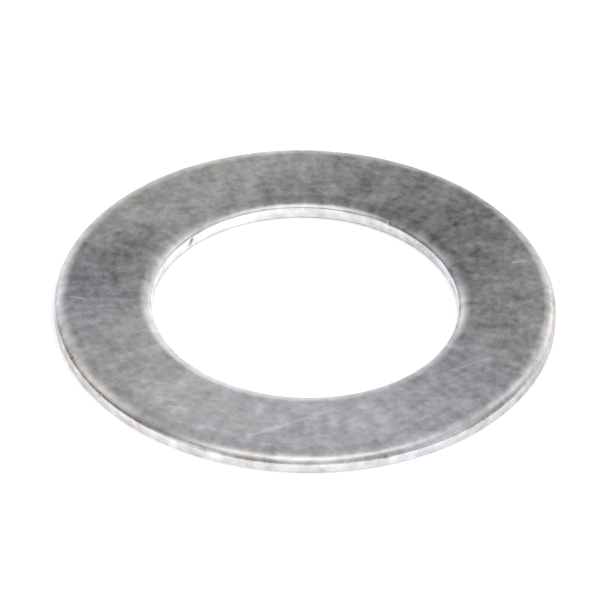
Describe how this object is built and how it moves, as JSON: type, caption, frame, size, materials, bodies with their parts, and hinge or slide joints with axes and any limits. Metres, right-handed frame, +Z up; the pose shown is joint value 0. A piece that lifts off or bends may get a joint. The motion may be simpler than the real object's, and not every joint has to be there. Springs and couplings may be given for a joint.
{
  "type": "flat washer",
  "caption": "Flat round steel ring that spreads a bolt head's or nut's load, with a plain central hole and rounded upper edges.",
  "frame": {"origin": "centre of the hole, on the lower flat face", "axes": "+Z up along the hole's axis, towards the face with the rounded edges; X and Y are free, because the ring is round"},
  "size_m": [0.0318, 0.0318, 0.0012],
  "materials": {
    "steel": "tumbled, dull silver grey"
  },
  "bodies": {
    "root": {"washer": "steel"}
  },
  "joints": []
}
